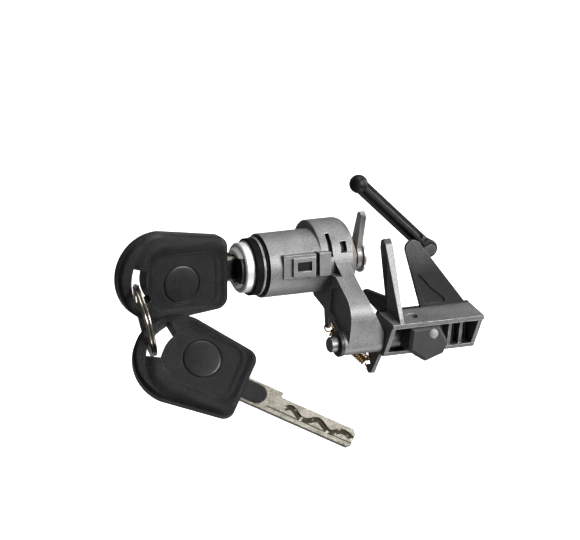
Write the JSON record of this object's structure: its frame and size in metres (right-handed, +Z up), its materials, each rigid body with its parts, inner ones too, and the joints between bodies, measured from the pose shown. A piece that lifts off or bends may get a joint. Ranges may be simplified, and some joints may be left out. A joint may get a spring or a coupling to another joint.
{
  "type": "tailgate lock cylinder",
  "caption": "Vehicle tailgate lock cylinder in a die-cast housing with a key inserted, a spare key on a split ring, a sprung release lever and a ball-ended push rod.",
  "frame": {"origin": "on the lock's axis, in the barrel shoulder that seats against the panel", "axes": "+X from the key side to the inside along the lock's axis, +Y away from the window lug, +Z up"},
  "size_m": [0.1631, 0.0819, 0.1164],
  "materials": {
    "die_cast": "as-cast, satin",
    "bright_cast": "bright plated",
    "seal_rubber": "matte black",
    "plug_steel": "satin nickel",
    "shutter_plastic": "moulded black",
    "wafer_brass": "plain",
    "key_nickel": "nickel with a warm tint",
    "bow_plastic": "fine grained charcoal",
    "cap_plastic": "smooth charcoal",
    "ring_steel": "plated wire",
    "lever_steel": "zinc plated",
    "bright_steel": "bright zinc plated",
    "spring_copper": "copper plated wire",
    "pin_steel": "turned",
    "black_washer": "black nylon",
    "lever_cast": "as-cast, darker grey",
    "buffer_plastic": "moulded",
    "light_pin": "natural nylon",
    "rod_plastic": "glossy black"
  },
  "bodies": {
    "lock_housing": {"housing": "die_cast", "cylinder_sleeve": "bright_cast", "face_seal": "seal_rubber", "panel_seal": "seal_rubber", "pivot_pin": "pin_steel", "pin_washer": "black_washer", "pin_clip": "bright_steel", "return_spring": "spring_copper", "pull_spring": "spring_copper"},
    "lock_plug": {"plug": "plug_steel", "plug_cap": "plug_steel", "plug_shutter": "shutter_plastic", "cam_lever": "lever_steel", "cam_washer": "bright_steel", "cam_clip": "bright_steel"},
    "upper_wafers": {"wafers_up": "wafer_brass"},
    "lower_wafers": {"wafers_down": "wafer_brass"},
    "key": {"key_blade": "key_nickel", "key_bow": "bow_plastic", "key_caps": "cap_plastic"},
    "ring": {"key_ring": "ring_steel"},
    "spare_key": {"spare_key_blade": "key_nickel", "spare_key_bow": "bow_plastic", "spare_key_caps": "cap_plastic"},
    "lever": {"release_lever": "lever_cast", "lever_buffer": "buffer_plastic", "buffer_pin": "light_pin", "rod_clip": "bright_steel"},
    "rod": {"push_rod": "rod_plastic"}
  },
  "joints": [
    {"name": "plug_turn", "type": "hinge", "parent": "lock_housing", "child": "lock_plug", "pos_m": [0, 0, 0], "axis": [1, 0, 0], "range_deg": [0, 90], "stiffness_Nm_per_rad": 0.02, "springref_deg": -51.57, "deforming": ["return_spring"]},
    {"name": "key_slide", "type": "slide", "parent": "lock_plug", "child": "key", "axis": [-1, 0, 0], "range_m": [0, 0.045]},
    {"name": "upper_wafer_slide", "type": "slide", "parent": "lock_plug", "child": "upper_wafers", "axis": [0, 0, 1], "range_m": [0, 0.0007]},
    {"name": "lower_wafer_slide", "type": "slide", "parent": "lock_plug", "child": "lower_wafers", "axis": [0, 0, -1], "range_m": [0, 0.0007]},
    {"name": "ring_turn", "type": "hinge", "parent": "key", "child": "ring", "pos_m": [-0.0578, -0.004, -0.0185], "axis": [0.9531, -0.212, 0.216], "range_deg": [-12, 12]},
    {"name": "spare_key_turn", "type": "hinge", "parent": "ring", "child": "spare_key", "pos_m": [-0.0578, -0.004, -0.0185], "axis": [0.9531, -0.212, 0.216], "range_deg": [-8, 8]},
    {"name": "lever_swing", "type": "hinge", "parent": "lock_housing", "child": "lever", "pos_m": [0.0478, -0.0294, -0.0327], "axis": [1, 0, 0], "range_deg": [-10, 0], "stiffness_Nm_per_rad": 0.05, "springref_deg": 28.65, "deforming": ["pull_spring"]},
    {"name": "rod_swing", "type": "hinge", "parent": "lever", "child": "rod", "pos_m": [0.0741, -0.0231, 0.0064], "axis": [0, 1, 0], "range_deg": [-5, 12]}
  ],
  "couplings": [
    {"joint": "upper_wafer_slide", "follows": "key_slide", "ratio": 0.015554},
    {"joint": "lower_wafer_slide", "follows": "key_slide", "ratio": 0.015554}
  ]
}
